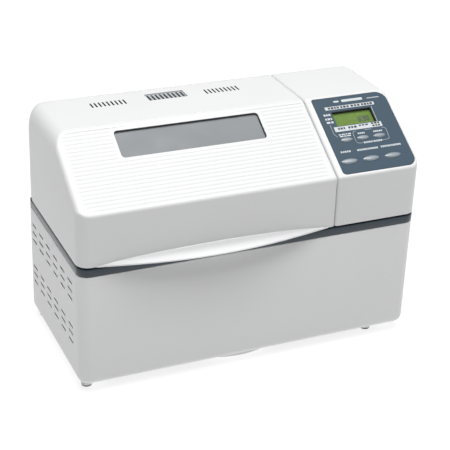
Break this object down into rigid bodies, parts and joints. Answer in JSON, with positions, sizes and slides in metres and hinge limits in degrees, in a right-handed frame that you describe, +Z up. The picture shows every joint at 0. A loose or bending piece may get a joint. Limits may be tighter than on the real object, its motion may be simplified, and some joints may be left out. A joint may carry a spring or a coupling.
{
  "type": "bread machine",
  "caption": "Wide white bread machine with a hinged sloping lid, viewing window, fixed control end with display and buttons, slate trim band, oven, pan and kneading drive.",
  "frame": {"origin": "under the middle of the bounding box, on the plane the feet stand on", "axes": "+X along the width towards the control end, -Y towards the front, +Z up"},
  "size_m": [0.43, 0.2212, 0.2885],
  "materials": {
    "white_shell": "satin moulded white plastic",
    "slate_trim": "smooth slate-blue plastic",
    "grey_vent": "satin grey plastic",
    "window_glass": "grey tinted clear pane",
    "lcd_lens": "clear display lens",
    "lcd_face": "green display glass over a dark shroud",
    "circuit_board": "green solder resist",
    "black_rubber": "dull rubber",
    "sheet_steel": "galvanised sheet",
    "bright_steel": "polished",
    "dark_coating": "dark non-stick coating",
    "heater_sheath": "dull oxidised sheath",
    "silver_button": "satin silver paint",
    "black_plastic": "moulded black plastic",
    "transformer_iron": "varnished core"
  },
  "bodies": {
    "body": {"baking_pan": "dark_coating", "base_housing": "white_shell", "bearing_left": "bright_steel", "bearing_right": "bright_steel", "bottom_plate": "white_shell", "chassis_plate": "sheet_steel", "control_housing": "white_shell", "control_panel": "slate_trim", "cord_gland": "black_plastic", "display_board": "circuit_board", "drive_belt": "black_rubber", "foot_front_left": "black_rubber", "foot_front_right": "black_rubber", "foot_rear_left": "black_rubber", "foot_rear_right": "black_rubber", "heater": "heater_sheath", "hinge_knuckle_left": "slate_trim", "hinge_knuckle_right": "slate_trim", "hinge_pin_left": "bright_steel", "hinge_pin_right": "bright_steel", "lcd_glass": "lcd_lens", "lcd_module": "lcd_face", "motor": "sheet_steel", "oven_chamber": "sheet_steel", "pan_base": "sheet_steel", "pan_ear_left": "sheet_steel", "pan_ear_right": "sheet_steel", "power_board": "circuit_board", "shaft_seal_left": "black_rubber", "shaft_seal_right": "black_rubber", "temperature_sensor": "sheet_steel", "thermal_fuse": "white_shell", "transformer": "transformer_iron", "trim_band": "slate_trim"},
    "lid": {"lid_shell": "white_shell", "lid_grip": "white_shell", "vent_grille": "grey_vent", "window_pane": "window_glass", "inner_pane": "window_glass", "lid_liner": "sheet_steel", "lid_gasket": "black_rubber", "hinge_leaf_left": "sheet_steel", "hinge_leaf_right": "sheet_steel"},
    "bail": {"pan_handle": "bright_steel"},
    "drive_right": {"driven_pulley_right": "black_plastic", "drive_coupling_right": "bright_steel", "blade_shaft_right": "bright_steel", "kneading_blade_right": "dark_coating"},
    "drive_left": {"driven_pulley_left": "black_plastic", "drive_coupling_left": "bright_steel", "blade_shaft_left": "bright_steel", "kneading_blade_left": "dark_coating"},
    "motor_rotor": {"motor_pulley": "black_plastic", "motor_shaft": "bright_steel"},
    "button_small_left_body": {"button_small_left": "silver_button"},
    "button_small_middle_body": {"button_small_middle": "silver_button"},
    "button_small_right_body": {"button_small_right": "silver_button"},
    "button_large_left_body": {"button_large_left": "silver_button"},
    "button_large_middle_body": {"button_large_middle": "silver_button"},
    "button_large_right_body": {"button_large_right": "silver_button"}
  },
  "joints": [
    {"name": "lid_hinge", "type": "hinge", "parent": "body", "child": "lid", "pos_m": [-0.055, 0.1046, 0.1702], "axis": [-1, 0, 0], "range_deg": [0, 85]},
    {"name": "bail_pivot", "type": "hinge", "parent": "body", "child": "bail", "pos_m": [-0.057, 0.0065, 0.1556], "axis": [-1, 0, 0], "range_deg": [0, 180]},
    {"name": "right_blade_spin", "type": "hinge", "parent": "body", "child": "drive_right", "pos_m": [-0.004, 0.0065, 0.03], "axis": [0, 0, 1], "continuous": true},
    {"name": "left_blade_spin", "type": "hinge", "parent": "body", "child": "drive_left", "pos_m": [-0.11, 0.0065, 0.03], "axis": [0, 0, 1], "continuous": true},
    {"name": "motor_spin", "type": "hinge", "parent": "body", "child": "motor_rotor", "pos_m": [0.16, 0.0065, 0.03], "axis": [0, 0, 1], "continuous": true},
    {"name": "button_small_left_press", "type": "slide", "parent": "body", "child": "button_small_left_body", "axis": [0, 0.5237, -0.8519], "range_m": [0, 0.0008], "stiffness_N_per_m": 500, "springref_m": -0.0015},
    {"name": "button_small_middle_press", "type": "slide", "parent": "body", "child": "button_small_middle_body", "axis": [0, 0.5237, -0.8519], "range_m": [0, 0.0008], "stiffness_N_per_m": 500, "springref_m": -0.0015},
    {"name": "button_small_right_press", "type": "slide", "parent": "body", "child": "button_small_right_body", "axis": [0, 0.5237, -0.8519], "range_m": [0, 0.0008], "stiffness_N_per_m": 500, "springref_m": -0.0015},
    {"name": "button_large_left_press", "type": "slide", "parent": "body", "child": "button_large_left_body", "axis": [0, 0.5237, -0.8519], "range_m": [0, 0.0008], "stiffness_N_per_m": 500, "springref_m": -0.0015},
    {"name": "button_large_middle_press", "type": "slide", "parent": "body", "child": "button_large_middle_body", "axis": [0, 0.5237, -0.8519], "range_m": [0, 0.0008], "stiffness_N_per_m": 500, "springref_m": -0.0015},
    {"name": "button_large_right_press", "type": "slide", "parent": "body", "child": "button_large_right_body", "axis": [0, 0.5237, -0.8519], "range_m": [0, 0.0008], "stiffness_N_per_m": 500, "springref_m": -0.0015}
  ],
  "couplings": [
    {"joint": "left_blade_spin", "follows": "right_blade_spin", "ratio": 1},
    {"joint": "motor_spin", "follows": "right_blade_spin", "ratio": 3.3333}
  ]
}
